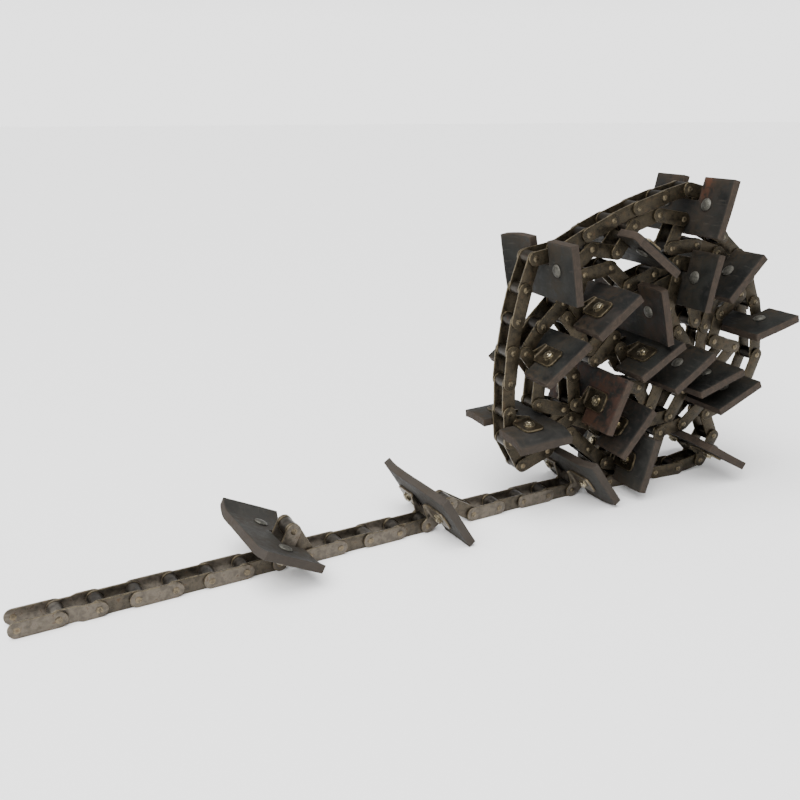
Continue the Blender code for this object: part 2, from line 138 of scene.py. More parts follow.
print("paddle links placed by eye:", len(OUTER), "on the outer turn and", len(INNER), "inside it")

# %% [markdown]
# ## Pins between the paddle links
# Someone who draws a chain fills the gap between two fixed links with the simplest line of the
# right length. The same is done here: an even bend on the outer turn, a flat run on the floor, and
# on the inner turns a curve around the coil's middle, whose links don't have the right length yet.

# %% Fill the gaps
def turned(point, heading, length):
    return point[0] + length * math.cos(heading), point[1] + length * math.sin(heading)


def strand_pins(a, b, count):
    """Pins from a to b over count links, each joint turned by the same angle."""
    want = math.dist(a, b)

    def reach(turn):
        return (sum(math.cos(turn * i) for i in range(count)),
                sum(math.sin(turn * i) for i in range(count)))

    low, high = 0.0, 1.25
    for _ in range(60):         # halve the range of the bend until the length is right
        middle = (low + high) / 2
        if math.hypot(*reach(middle)) > want:
            low = middle
        else:
            high = middle
    x, y = reach(low)
    first = math.atan2(b[1] - a[1], b[0] - a[0]) - math.atan2(y, x)
    points = [a]
    for i in range(count):
        points.append(turned(points[-1], first + low * i, 1))
    return points


def floor_pins(a, count, last):
    """Pins from a raised one down to the floor, along it, and up to the height of the last."""
    points = [a, (a[0] + math.sqrt(1 - a[1] ** 2), 0.0)]
    for _ in range(count - 2):
        points.append((points[-1][0] + 1, 0.0))
    points.append((points[-1][0] + math.sqrt(1 - last ** 2), last))
    return points


def curved_pins(a, b, count):
    """Pins from a to b that keep their order around the coil's centre, as a first guess."""
    ra, rb = np.array(a) - CENTRE, np.array(b) - CENTRE
    ta, tb = math.atan2(ra[1], ra[0]), math.atan2(rb[1], rb[0])
    while tb < ta - 0.3:
        tb += 2 * math.pi
    points = []
    for i in range(count + 1):
        part = i / count
        r = np.linalg.norm(ra) * (1 - part) + np.linalg.norm(rb) * part
        t = ta + (tb - ta) * part
        points.append(tuple(CENTRE + r * np.array([math.cos(t), math.sin(t)])))
    return points


def first_guess():
    pins = np.zeros((LINKS + 2, 2))
    before, leave = None, None
    for number, s, z, turn in OUTER + INNER:
        heading = math.radians(turn)
        a = turned((s, z), heading, -0.5)
        b = turned((s, z), heading, 0.5)
        if before is not None:
            left, right, start, end = before + 1, number, leave, a
            if left in FOLD:
                pins[left] = start
                start = turned(start, math.radians(FOLD[left]), 1)
                left += 1
            if right - 1 in FOLD:
                right -= 1
                end = turned(end, math.radians(FOLD[right]), -1)
            if number == OUTER[1][0]:
                run = floor_pins(start, right - left, end[1])
            elif number <= OUTER[-1][0]:
                run = strand_pins(start, end, right - left)
            else:
                run = curved_pins(start, end, right - left)
            for i, point in enumerate(run):
                pins[left + i] = point
        pins[number] = a
        pins[number + 1] = b
        before, leave = number, b
    return pins


print("pins in the coil:", LINKS + 2 - FIRST)

# %% [markdown]
# ## Push the pieces apart
# In the real coil each turn rests on the next, and nothing cuts through anything. Seen from the
# side, each link, paddle, ear and bolt head is a line with a radius. Where two lines are too close,
# both pieces give way by half, and then the links are drawn back to one pitch. The pieces start
# small and grow, so that they can slip past one another early on, and at first the paddle links are
# pulled towards the places that were given. Two lines that cross get another rule: the piece
# that is deeper in the coil goes in and the other goes out.

# %% Distances and pushes
def closest(p1, q1, p2, q2):
    """Where two segments come nearest, as a share of each, for many pairs at once."""
    d1, d2, r = q1 - p1, q2 - p2, p1 - p2
    a, e, f = (d1 * d1).sum(1), (d2 * d2).sum(1), (d2 * r).sum(1)
    c, b = (d1 * r).sum(1), (d1 * d2).sum(1)
    den = a * e - b * b
    s = np.where(den > 1e-9, np.clip((b * f - c * e) / np.where(den > 1e-9, den, 1), 0, 1), 0.5)
    t = np.clip((b * s + f) / e, 0, 1)
    s = np.clip((b * t - c) / a, 0, 1)
    t = np.clip((b * s + f) / e, 0, 1)
    return s, t


def give(move, count, k, at_start, at_end):
    """Adds a push to both pins of links k, and counts it."""
    for pin, by in ((k, at_start), (k + 1, at_end)):
        np.add.at(move, pin, by)
        np.add.at(count, pin, 1)


corners = [np.array([point], float) for point in ((0, 0), (2, 0), (1, -1), (1, 3))]
print("where two crossing lines meet, as a share of each:", *(float(a[0]) for a in closest(*corners)))


# %% Which pieces can meet
# what a piece takes up seen from the side: offset along its link, from and to across it, radius
LINK, PAD, EAR, HEAD = range(4)
TAKES = {LINK: (0.0, 0.0, 0.0, 0.225), PAD: (0.0, -OUT, IN, 0.13), EAR: (-0.27, 0.12, 0.60, 0.14),
         HEAD: (0.17, 0.22, 0.58, 0.05)}
MEET = ((LINK, LINK, 2), (LINK, PAD, 1), (PAD, PAD, 1),     # pairs that are kept apart, from so
        (LINK, EAR, 2), (PAD, EAR, 1), (PAD, HEAD, 1))      # many links away
NEXT_BUT_ONE = 0.42     # pitches from a link to the next but one, which is of the same width
PADS = np.array([row[0] for row in OUTER + INNER])


def watched_pairs():
    """Link and kind of each piece, the pairs of pieces that can meet, and the room each pair needs."""
    links = np.arange(FIRST, LINKS + 1)
    number = np.concatenate([links, PADS, PADS, PADS])
    kind = np.repeat([LINK, PAD, EAR, HEAD], [len(links)] + [len(PADS)] * 3)
    i_, j_ = np.triu_indices(len(kind), 1)
    ki, kj, apart = kind[i_], kind[j_], np.abs(number[i_] - number[j_])
    keep = np.zeros(len(i_), bool)
    for a, b, least in MEET:
        keep |= (ki == a) & (kj == b) & (apart >= least)
    keep &= (number[i_] >= LOOSE - 1) | (number[j_] >= LOOSE - 1)
    i_, j_, ki, kj, apart = (a[keep] for a in (i_, j_, ki, kj, apart))
    radius = np.array([TAKES[k][3] for k in kind])
    need = radius[i_] + radius[j_] + ROOM
    need = np.where((ki == LINK) & (kj == LINK) & (apart == 2), NEXT_BUT_ONE, need)
    return number, kind, i_, j_, need


print("pieces that take up room:", len(watched_pairs()[0]), "pairs:", len(watched_pairs()[4]))


# %% Push links and paddles apart
OVER_NOTCH = 0.30       # where a paddle is solid, past the notch that stands over its own link
CROSSED = 0.06          # lines nearer than this have crossed
HALF_SQUARED = 0.25     # of a link: makes a push on a paddle's end turn it and not only shift it
OVERSHOOT = 1.3         # each push is made a little larger than needed, which settles sooner
START_SIZE, GROWN, LET_GO = 0.35, 0.5, 0.7      # size at first, and shares of all steps


def coil_pins(steps=3500, hold=0.05):
    """Pins of the coil, with every link, paddle, ear and bolt head pushed clear of the others."""
    x = first_guess()
    target = x.copy()
    number, kind, i_, j_, need = watched_pairs()
    off, low, high = (np.array([TAKES[k][i] for k in kind]) for i in range(3))
    free = (np.arange(len(x)) >= LOOSE).astype(float)
    loose = np.arange(LOOSE - 1, LINKS + 1)
    deeper = np.where(number[j_] > number[i_], 1.0, -1.0)
    notch = (kind[i_] == LINK) & (kind[j_] == PAD)
    is_link = (kind == LINK)[:, None]
    for step in range(steps):
        size = min(1.0, START_SIZE + (1 - START_SIZE) * step / (GROWN * steps))
        c = (x[number] + x[number + 1]) / 2
        u = x[number + 1] - x[number]
        u /= np.linalg.norm(u, axis=1)[:, None]
        n = np.stack([-u[:, 1], u[:, 0]], 1)
        p = c + off[:, None] * u + np.where(is_link, -0.5 * u, low[:, None] * n)
        q = c + off[:, None] * u + np.where(is_link, 0.5 * u, high[:, None] * n)
        pj = np.where(notch[:, None], c[j_] + OVER_NOTCH * n[j_], p[j_])
        s, t = closest(p[i_], q[i_], pj, q[j_])
        at_i = p[i_] + (q[i_] - p[i_]) * s[:, None]
        at_j = pj + (q[j_] - pj) * t[:, None]
        gap = at_i - at_j
        dist = np.linalg.norm(gap, axis=1)
        wanted = need * size
        hit = np.where(dist < wanted)[0]
        if len(hit):
            move = np.zeros_like(x)
            count = np.zeros(len(x))
            way = gap[hit] / np.maximum(dist[hit], 1e-6)[:, None]
            crossed = dist[hit] < CROSSED
            middle = (at_i[hit] + at_j[hit]) / 2 - CENTRE
            outward = middle / np.maximum(np.linalg.norm(middle, axis=1), 1e-6)[:, None]
            way = np.where(crossed[:, None], outward * deeper[hit][:, None], way)
            push = (wanted[hit] - dist[hit])[:, None] * way * 0.5
            for which, share, sign in ((i_[hit], s[hit], 1.0), (j_[hit], t[hit], -1.0)):
                force = push * sign
                on_link = kind[which] == LINK
                part = share[on_link][:, None]
                weight = (1 - part) ** 2 + part ** 2
                give(move, count, number[which[on_link]], force[on_link] * (1 - part) / weight,
                     force[on_link] * part / weight)
                other = ~on_link
                piece = which[other]
                from_ = low[piece]
                if sign < 0:
                    from_ = np.where(notch[hit][other], OVER_NOTCH, from_)
                arm = from_ + (high[piece] - from_) * share[other]
                along = (force[other] * u[piece]).sum(1)
                across = (force[other] * n[piece]).sum(1)
                turning = along / (HALF_SQUARED + arm ** 2)
                shift = (HALF_SQUARED * turning)[:, None] * u[piece] + across[:, None] * n[piece]
                swing = (-arm * turning * 0.5)[:, None] * n[piece]
                give(move, count, number[piece], shift - swing, shift + swing)
            x = x + move / np.maximum(count, 1)[:, None] * OVERSHOOT * free[:, None]
        pull = hold * max(0.0, 1 - step / (LET_GO * steps))
        for k in (PADS, PADS + 1):
            x[k] += (target[k] - x[k]) * pull * free[PADS][:, None]
        for _ in range(8):      # draw the links back to one pitch, even and odd ones in turn
            for odd in (0, 1):
                k = loose[loose % 2 == odd]
                way = x[k + 1] - x[k]
                length = np.linalg.norm(way, axis=1)
                both = np.maximum(free[k] + free[k + 1], 1)
                error = ((length - 1) / np.maximum(length, 1e-9))[:, None] * way
                x[k] += error * (free[k] / both)[:, None]
                x[k + 1] -= error * (free[k + 1] / both)[:, None]
    return x


flat = coil_pins()
print("steps along the coil, longest and shortest, in pitches:",
      [round(float(f(np.linalg.norm(np.diff(flat[FIRST:], axis=0), axis=1))), 5) for f in (max, min)])

# %% [markdown]
# ## One frame for each link
# A link needs a place and a direction: x along it, y across the chain, z to the coil's inside. The
# tail turns a few degrees towards the viewer, spread over the joints at its root.

# %% A matrix for each link
def clamped(value):
    return min(1.0, max(0.0, value))


def yaw_of(number):
    return TAIL_YAW * clamped((YAW_FROM - number) / (YAW_FROM - YAW_TO))


def link_frames():
    """The matrix of each link, by its number, at its middle."""
    pins = {k: Vector((flat[k][0] * PITCH, 0, flat[k][1] * PITCH + PLATE_HALF))
            for k in range(YAW_FROM, LINKS + 2)}
    for k in range(YAW_FROM - 1, 0, -1):
        h, yaw = math.radians(TAIL_HEADING.get(k, 0)), yaw_of(k)
        if k >= FIRST:
            h = math.atan2(flat[k + 1][1] - flat[k][1], flat[k + 1][0] - flat[k][0])
        pins[k] = pins[k + 1] - PITCH * Vector(
            (math.cos(h) * math.cos(yaw), math.cos(h) * math.sin(yaw), math.sin(h)))
    frames = {}
    for k in range(1, LINKS + 1):
        u = (pins[k + 1] - pins[k]).normalized()
        yaw = yaw_of(k)
        v = Vector((-math.sin(yaw), math.cos(yaw), 0))
        n = u.cross(v)
        frame = Matrix((u, v, n)).transposed().to_4x4()
        frame.translation = (pins[k] + pins[k + 1]) / 2
        frames[k] = frame
    return frames


frames = link_frames()
print("links laid out:", len(frames))

# %% [markdown]
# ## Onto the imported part
# The solids were centred after they were built, so one paddle's box is compared with its frame to
# find the shift. The same shift then holds for every link, and a second paddle shows that it does.

# %% Frames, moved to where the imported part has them
def shift_from(paddle, number):
    corners = [frames[number] @ Vector((x, y, z)) for x in (-PADDLE_THICK / 2, PADDLE_THICK / 2)
               for y in (-PADDLE_HALF, PADDLE_HALF) for z in (-OUT * PITCH, IN * PITCH)]
    low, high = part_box(paddle)
    guess = [(min(c[i] for c in corners) + max(c[i] for c in corners)) / 2 for i in range(3)]
    return Vector([(low[i] + high[i]) / 2 - guess[i] for i in range(3)])


SHIFT = shift_from("paddle_038", 38)
for number in frames:
    frames[number].translation += SHIFT
print("shift to the packed part, mm:", [round(c * 1000, 2) for c in SHIFT])
print("the same from another paddle:", [round(c * 1000, 2) for c in shift_from("paddle_092", 92)])


def has_paddle(number):
    return number >= FIRST_PADDLE and (number - FIRST_PADDLE) % PADDLE_EVERY == 0


# %% [markdown]
# ## A helper for node trees
# Materials and Geometry Nodes are both node trees, and both are written the same way: make a node,
# choose its settings, and give each input a number or a link. One small helper does that. A node
# can be passed on as it is, and then its first output in use is meant. Colours are written as sRGB
# hex, as a colour picker shows them, and a second helper turns them to the linear values of a node.

# %% Add a node
def put(tree, kind, settings=None, **inputs):
    """Adds a node. in0, in1 are its inputs in use, in order. Others go by name, _ for a space."""
    node = tree.nodes.new(kind)
    for key, value in (settings or {}).items():
        setattr(node, key, value)
    in_use = [socket for socket in node.inputs if socket.enabled]
    for key, value in inputs.items():
        socket = in_use[int(key[2:])] if key[2:].isdigit() else node.inputs[key.replace("_", " ")]
        if isinstance(value, bpy.types.Node):
            value = next(output for output in value.outputs if output.enabled)
        if isinstance(value, bpy.types.NodeSocket):
            tree.links.new(value, socket)
        else:
            socket.default_value = value
    return node


NOISE, MATH, MIX, RANGE = "ShaderNodeTexNoise", "ShaderNodeMath", "ShaderNodeMix", "ShaderNodeMapRange"
CARRIED = "ShaderNodeAttribute"             # a value that the mesh carries
COLOUR = {"data_type": "RGBA"}              # a mix of colours: without it, a mix of two values
SUM = {"operation": "MULTIPLY_ADD"}         # in0 times in1 plus in2
TIMES = {"operation": "MULTIPLY"}
FROM = {"operation": "SUBTRACT", "use_clamp": True}      # in0 less in1, but never below zero
SOFT = {"interpolation_type": "SMOOTHSTEP"}


def linear(code):
    """An sRGB hex colour as linear red, green, blue and alpha."""
    parts = [int(code[i:i + 2], 16) / 255 for i in (1, 3, 5)]
    return tuple(c / 12.92 if c <= 0.04045 else ((c + 0.055) / 1.055) ** 2.4 for c in parts) + (1.0,)


print("mid grey as linear values:", [round(c, 3) for c in linear("#808080")])

# %% [markdown]
# ## What every finish starts and ends with
# A material here is a tree of noises and colours. It starts empty. Colours are laid over one
# another like thin coats, each where a noise is high, so that dust or rust comes in patches. A gate
# can hold a coat back, such as to rubbed edges. All finishes end in the same three nodes: a bump
# for relief that is too fine for the mesh, the shader, and the output.

# %% The start, the coats and the end of a material
def fresh_material(name):
    material = bpy.data.materials.new(name)
    material.use_nodes = True
    material.node_tree.nodes.clear()
    return material, material.node_tree


def coat(tree, under, code, value, low, high, least=0.0, most=1.0, gate=None):
    """Lays a colour over what is under it, from least to most as value goes from low to high."""
    share = put(tree, RANGE, SOFT, Value=value, From_Min=low, From_Max=high, To_Min=least, To_Max=most)
    if gate:
        share = put(tree, MATH, gate[0], in0=share, in1=gate[1])
    return put(tree, MIX, COLOUR, in0=share, in1=under, in2=linear(code))


def finish_surface(tree, colour, rough, metal, height, bump_mm, strength, **more):
    """The last three nodes of every finish here: relief, shader and output."""
    relief = put(tree, "ShaderNodeBump", Strength=strength, Distance=bump_mm / 1000, Height=height)
    shader = put(tree, "ShaderNodeBsdfPrincipled", Base_Color=colour, Roughness=rough, Metallic=metal,
                 Normal=relief, **more)
    put(tree, "ShaderNodeOutputMaterial", Surface=shader)


print("a coat is made of these nodes:", RANGE, MATH, MIX)

# %% [markdown]
# ## Steel that has worked in grain
# The plates are rolled carbon steel, brown-black from the mill, soaked in old oil with grain dust
# stuck to it. To the eye that is a very dark brown metal with soft, broken highlights: tan where
# dust sits, nearly black in the hollows, rusty in specks, and bright along the rounded edges, which
# are partly rubbed bare and partly a painted highlight. The tail has lost its oil, so it is a paler
# grey-brown. Noises of 40, 6 and 1 mm make the patches, the specks and the grain of the scale. Each
# link is a little lighter or darker than the next, from a value called tone that the layout writes
# on it. A value called rim is 1 on a rounded edge, and is where the painted highlight goes.

# %% Oily, dusty chain steel
def steel_finish(name, dark, light, dust, rust, bare_and_highlight, tail_dark, tail_light, rough, metal, rust_share):
    material, tree = fresh_material(name)
    place = put(tree, "ShaderNodeTexCoord").outputs["Object"]
    patches = put(tree, NOISE, Vector=place, Scale=1000 / 40, Detail=2.0, Distortion=0.6)
    specks = put(tree, NOISE, Vector=place, Scale=1000 / 6, Detail=4.0, Distortion=0.4)
    grain = put(tree, NOISE, Vector=place, Scale=1000 / 1.0, Detail=2.0)
    tone, rim, tail = [put(tree, CARRIED, {"attribute_name": name}).outputs["Fac"]
                       for name in ("tone", "rim", "tail")]
    # oil: mottled, and another tone on each link
    mottle = put(tree, MIX, in0=0.6, in1=tone, in2=specks)
    base = coat(tree, linear(dark), light, mottle, 0.30, 0.72)
    # the tail, dry and paler
    dry = coat(tree, linear(tail_dark), tail_light, specks, 0.35, 0.65)
    base = put(tree, MIX, COLOUR, in0=put(tree, MATH, TIMES, in0=tail, in1=0.85), in1=base, in2=dry)
    # dust in broad patches, broken up by the grain
    spread = put(tree, MIX, in0=0.7, in1=grain, in2=patches)
    base = coat(tree, base, dust, spread, 0.46, 0.68, most=0.40, gate=(FROM, tail))
    # rust in specks
    spread = put(tree, MIX, in0=0.75, in1=grain, in2=specks)
    base = coat(tree, base, rust, spread, 0.60 - rust_share, 0.69 - rust_share, most=0.7)
    # bare metal and a painted highlight on the rounded edges, where they rub
    spread = put(tree, MIX, in0=0.4, in1=grain, in2=specks)
    base = coat(tree, base, bare_and_highlight, spread, 0.34, 0.58, most=0.8, gate=(TIMES, rim))
    gloss = put(tree, MIX, in0=0.7, in1=grain, in2=specks)
    gloss = put(tree, RANGE, Value=gloss, From_Min=0.3, From_Max=0.7, To_Min=rough - 0.10,
                To_Max=rough + 0.16)
    height = put(tree, MIX, in0=0.6, in1=specks, in2=grain)
    finish_surface(tree, base, gloss, metal, height, 0.25, 0.4)
    return material


finish = {
    "plate": steel_finish("oily_plate_steel", "#0c0a07", "#231e16", "#322b20", "#351f14", "#6d624c",
                          "#4b4640", "#625c55", 0.40, 0.80, 0.02),
    "roller": steel_finish("worn_roller_steel", "#110e0a", "#2a251d", "#362f24", "#351f14", "#71684f",
                           "#4b4641", "#6e6961", 0.38, 0.85, 0.00),
    "pin": steel_finish("riveted_pin_steel", "#120f0a", "#2b261e", "#393125", "#402517", "#776c56",
                        "#3c3630", "#574f46", 0.38, 0.85, 0.06),
}
print("steel finishes:", sorted(finish))

# %% [markdown]
# ## Zinc on the bolts and nuts
# The paddles are held by elevator bolts, with wide flat heads, and by hexagon nuts. Both are zinc
# plated. On the nuts the plating is still bright and slightly yellow, while the heads have been
# scoured by the grain to a dull grey that hardly stands out from the rubber.

# %% Zinc plating, bright and scoured
def zinc_finish(name, clean, dull, dirt, rough, metal):
    material, tree = fresh_material(name)
    place = put(tree, "ShaderNodeTexCoord").outputs["Object"]
    stains = put(tree, NOISE, Vector=place, Scale=1000 / 5, Detail=3.0, Distortion=0.4)
    grain = put(tree, NOISE, Vector=place, Scale=1000 / 0.9, Detail=2.0)
    base = coat(tree, linear(clean), dull, stains, 0.38, 0.62)
    base = coat(tree, base, dirt, grain, 0.52, 0.66, most=0.75)
    gloss = put(tree, RANGE, Value=stains, From_Min=0.3, From_Max=0.7, To_Min=rough - 0.08,
                To_Max=rough + 0.14)
    finish_surface(tree, base, gloss, metal, grain, 0.15, 0.3)
    return material


finish["nut"] = zinc_finish("bright_zinc_nut", "#aaa18a", "#655d4c", "#2b251b", 0.26, 0.9)
finish["head"] = zinc_finish("scoured_zinc_head", "#57564f", "#413f3a", "#27241f", 0.56, 0.65)
print("zinc finishes:", finish["nut"].name, finish["head"].name)

# %% [markdown]
# ## Rubber belting
# The paddles are cut from ply belting: rubber with layers of woven cloth inside. The moulded faces
# are nearly black with a cold cast, scuffed by the grain and dusted brown beside the chain. Some
# have rust on them that has run from the steel, and the two on the tail are grey with dust. The
# cut edges are browner and a little paler, and show the plies as fine lines along the edge. The
# mesh carries what the pattern needs: cut is 1 on the cut edges, through is the depth in the
# thickness in millimetres, patch is the place on the paddle, and rust, grime and dust say how much
# of each lies there. Dusty rubber hardly shines, so its specular level is low.

# %% Ply belting
def belting_finish():
    material, tree = fresh_material("ply_belting_rubber")
    patch = put(tree, CARRIED, {"attribute_name": "patch"}).outputs["Vector"]
    cut, through, rust, grime, dust, rim = [
        put(tree, CARRIED, {"attribute_name": name}).outputs["Fac"]
        for name in ("cut", "through", "rust", "grime", "dust", "rim")]
    clouds = put(tree, NOISE, Vector=patch, Scale=1000 / 45, Detail=3.0, Distortion=0.8)
    specks = put(tree, NOISE, Vector=patch, Scale=1000 / 7, Detail=4.0, Distortion=0.5)
    grain = put(tree, NOISE, Vector=patch, Scale=1000 / 1.2, Detail=2.0)
    along = put(tree, "ShaderNodeMapping", Vector=patch, Scale=(1.0, 0.12, 1.0))
    scratches = put(tree, NOISE, Vector=along, Scale=1000 / 3.0, Detail=3.0, Distortion=0.3)
    # the moulded face, cloudy and scuffed
    face = coat(tree, linear("#0e0f0e"), "#1b1c1a", clouds, 0.35, 0.65)
    face = coat(tree, face, "#252423", specks, 0.50, 0.70, most=0.45)
    face = coat(tree, face, "#37342f", scratches, 0.60, 0.72, most=0.35)
    # dust over a whole paddle, and grime beside the chain
    face = coat(tree, face, "#504d49", specks, 0.25, 0.60, least=0.55, gate=(TIMES, dust))
    face = coat(tree, face, "#2c251c", specks, 0.30, 0.60, gate=(TIMES, grime))
    # rust that has run from the steel
    spread = put(tree, MIX, in0=0.6, in1=specks, in2=clouds)
    face = coat(tree, face, "#4e2b1c", spread, 0.40, 0.60, gate=(TIMES, rust))
    # the cut edge, with a dark line every 2.4 mm where a ply of cloth ends
    wavy = put(tree, MATH, SUM, in0=specks, in1=0.8, in2=through)
    wavy = put(tree, MATH, TIMES, in0=wavy, in1=2 * math.pi / 2.4)
    plies = put(tree, MATH, {"operation": "SINE"}, in0=wavy)
    edge = coat(tree, linear("#1e1915"), "#352d26", specks, 0.35, 0.65)
    edge = coat(tree, edge, "#15120f", plies, 0.45, 0.95, most=0.55)
    edge = coat(tree, edge, "#4a2f22", spread, 0.40, 0.60, most=0.6, gate=(TIMES, rust))
    share = put(tree, MATH, TIMES, in0=dust, in1=3.5)      # dust hides the difference from the face
    edge = put(tree, MIX, COLOUR, in0=share, in1=edge, in2=face)
    colour = put(tree, MIX, COLOUR, in0=cut, in1=face, in2=edge)
    share = put(tree, MATH, TIMES, in0=rim, in1=0.40)
    colour = put(tree, MIX, COLOUR, in0=share, in1=colour, in2=linear("#3b332c"))
    # the cloth shows through the face as slight ridges about 2.4 mm apart
    weave = put(tree, "ShaderNodeTexWave", {"bands_direction": "DIAGONAL"}, Vector=patch, Scale=260.0,
                Distortion=1.5, Detail=1.0).outputs["Fac"]
    height = put(tree, MATH, SUM, in0=specks, in1=0.6, in2=put(tree, MATH, TIMES, in0=grain, in1=0.5))
    height = put(tree, MATH, SUM, in0=weave, in1=0.12, in2=height)
    gloss = put(tree, RANGE, Value=specks, From_Min=0.3, From_Max=0.7, To_Min=0.60, To_Max=0.85)
    finish_surface(tree, colour, gloss, 0.0, height, 0.5, 0.5, IOR=1.52, Specular_IOR_Level=0.12)
    return material


finish["rubber"] = belting_finish()
print("rubber finish:", finish["rubber"].name)

# %% [markdown]
# ## Plates with rounded edges
# A side plate is punched from strip, so it is a flat outline with the same thickness all over and
# edges that wear round. A filled curve does this well: its outline is typed as points, and its own
# bevel rounds the edge. It becomes a mesh before it is placed. The value rim is written on the
# rounded edge, so that the finish can brighten it with rubbed bare metal and a painted highlight.

# %% From object to mesh
def shown(name, data):
    """A new object in the scene."""
    thing = bpy.data.objects.new(name, data)
    bpy.context.scene.collection.objects.link(thing)
    return thing


def mesh_of(holder):
    """The mesh that an object's curve or modifiers make. The object itself goes."""
    mesh = bpy.data.meshes.new_from_object(holder.evaluated_get(bpy.context.evaluated_depsgraph_get()))
    bpy.data.objects.remove(holder)
    return mesh


def mesh_from(bm, name):
    mesh = bpy.data.meshes.new(name)
    bm.to_mesh(mesh)
    bm.free()
    return mesh


def triangles(mesh):
    return sum(len(face.vertices) - 2 for face in mesh.polygons)


# %% Make a plate
def plate_mesh(name, points, thick):
    curve = bpy.data.curves.new(name, "CURVE")
    curve.dimensions, curve.fill_mode = "2D", "BOTH"
    curve.extrude, curve.bevel_depth = thick / 2 - WORN, WORN
    curve.bevel_resolution, curve.offset = 1, -WORN
    spline = curve.splines.new("POLY")
    spline.points.add(len(points) - 1)
    for point, (x, y) in zip(spline.points, points):
        point.co = (x, y, 0, 1)
    spline.use_cyclic_u = True
    mesh = mesh_of(shown(name, curve))
    bpy.data.curves.remove(curve)
    return tidied(mesh, thick)


def tidied(mesh, thick):
    """Joins the strips of a plate, turns its faces outwards and writes rim on its edge."""
    bm = bmesh.new()
    bm.from_mesh(mesh)
    bmesh.ops.remove_doubles(bm, verts=bm.verts, dist=1e-6)
    bmesh.ops.recalc_face_normals(bm, faces=bm.faces)
    rim = bm.verts.layers.float.new("rim")
    # rim: 1 on the rounded edge, where bare metal and a painted highlight go, a quarter on the faces
    for vert in bm.verts:
        vert[rim] = 0.25 if abs(vert.co.z) > thick / 2 - 1e-5 else 1.0
    bm.to_mesh(mesh)
    bm.free()
    return mesh


def arc(x, y, radius, start, stop, steps):
    return [(x + radius * math.cos(math.radians(start + (stop - start) * i / steps)),
             y + radius * math.sin(math.radians(start + (stop - start) * i / steps)))
            for i in range(steps + 1)]


def long_plate():
    return arc(HALF, 0, PLATE_HALF, -90, 90, 12) + arc(-HALF, 0, PLATE_HALF, 90, 270, 12)


def eared_plate():
    """A side plate whose trailing half rises into the foot of its ear."""
    top, foot = 0.0135, PADDLE_BACK - FLANGE_THICK - 0.0015
    ear = [(foot, PLATE_HALF), (foot, top), (-0.0135, top), (-0.40 * PITCH, PLATE_HALF + 0.0004)]
    return arc(HALF, 0, PLATE_HALF, -90, 90, 12) + ear + arc(-HALF, 0, PLATE_HALF, 95, 270, 12)


OUTER_PLATE = plate_mesh("outer_plate", long_plate(), OUTER_OUT - OUTER_IN)
INNER_PLATE = plate_mesh("inner_plate", long_plate(), INNER_OUT - INNER_IN)
EARED_PLATE = plate_mesh("eared_plate", eared_plate(), OUTER_OUT - OUTER_IN)
print("faces in a side plate:", len(OUTER_PLATE.polygons))
print("faces in one with the foot of an ear:", len(EARED_PLATE.polygons))

# %% [markdown]
# ## Turned and formed pieces
# Rollers, pins, bolts and nuts are round, so each is one profile of radius and height carried
# around an axis. Few sides are enough for a piece of 8 mm, because the shading is smooth. A nut is
# the same thing with six sides. The riveted end of a pin is a low dome.

# %% Turn a profile
def turned_mesh(name, profile, sides, twist=0.0):
    """A closed body of revolution about Z from its axis out and back: radius, height, rim value."""
    bm = bmesh.new()
    rim = bm.verts.layers.float.new("rim")
    rings = []
    for radius, height, wear in profile:
        if radius == 0:
            ring = [bm.verts.new((0, 0, height))]
        else:
            ring = [bm.verts.new((radius * math.cos(a), radius * math.sin(a), height))
                    for a in (twist + 2 * math.pi * i / sides for i in range(sides))]
        for vert in ring:
            vert[rim] = wear
        rings.append(ring)
    for low, high in zip(rings, rings[1:]):
        for i in range(sides):
            j = (i + 1) % sides
            corners = [low[i % len(low)], low[j % len(low)], high[j % len(high)], high[i % len(high)]]
            bm.faces.new(list(dict.fromkeys(corners)))
    bmesh.ops.recalc_face_normals(bm, faces=bm.faces)
    return mesh_from(bm, name)


def mirrored(profile):
    return profile + [(r, -z, w) for r, z, w in reversed(profile)]


# the third value in a profile is rim: where it is high, the steel finish lays bare metal and a painted
# highlight, such as the bright ring on a pin's dome
ROLLER = turned_mesh("roller", mirrored([(0, 0.0091, 0), (ROLLER_R - 0.0007, 0.0091, 0.4),
                                         (ROLLER_R, 0.0084, 0.6), (ROLLER_R, 0.0080, 0.0)]), 20)
BUSH = turned_mesh("bush", mirrored([(0, 0.0096, 0), (BUSH_R, 0.0096, 0)]), 10)
PIN = turned_mesh("pin", mirrored([(0, PIN_OUT, 0.3), (0.0022, PIN_OUT - 0.0002, 1.0),
                                   (0.0036, PIN_OUT - 0.0008, 0.8),
                                   (0.0038, OUTER_OUT - 0.0001, 0.3)]), 14)
STUB = turned_mesh("stub", mirrored([(0, 0.0015, 0.2), (0.0027, 0.0016, 1.0), (0.0036, 0.0014, 0.7),
                                     (0.0036, 0.0010, 0.2)]), 14)
BOLT_HEAD = turned_mesh("bolt_head", [(0, 0, 0), (HEAD_R - 0.0004, 0, 0), (HEAD_R, 0.0008, 1.0),
                                      (HEAD_R - 0.0006, 0.0017, 1.0), (0.0045, HEAD_THICK - 0.0003, 0.3),
                                      (0, HEAD_THICK, 0.2)], 22)
NUT = turned_mesh("nut", [(0, 0, 0), (NUT_R * 1.02, 0, 0.4), (NUT_R * 1.02, 0.0034, 0.6),
                          (NUT_R * 0.88, 0.0040, 1.0), (0.0031, 0.0040, 0.5), (0.0029, 0.0040, 0.3),
                          (0.0029, 0.0046, 0.6), (0.0024, NUT_THICK, 1.0), (0, NUT_THICK, 0.4)], 6, 0.3)
WASHER = turned_mesh("washer", [(0, 0, 0), (0.0072, 0, 0.3), (0.0072, 0.0009, 0.8), (0, 0.0009, 0)], 18)
print("faces in a roller:", len(ROLLER.polygons), "in a pin:", len(PIN.polygons))

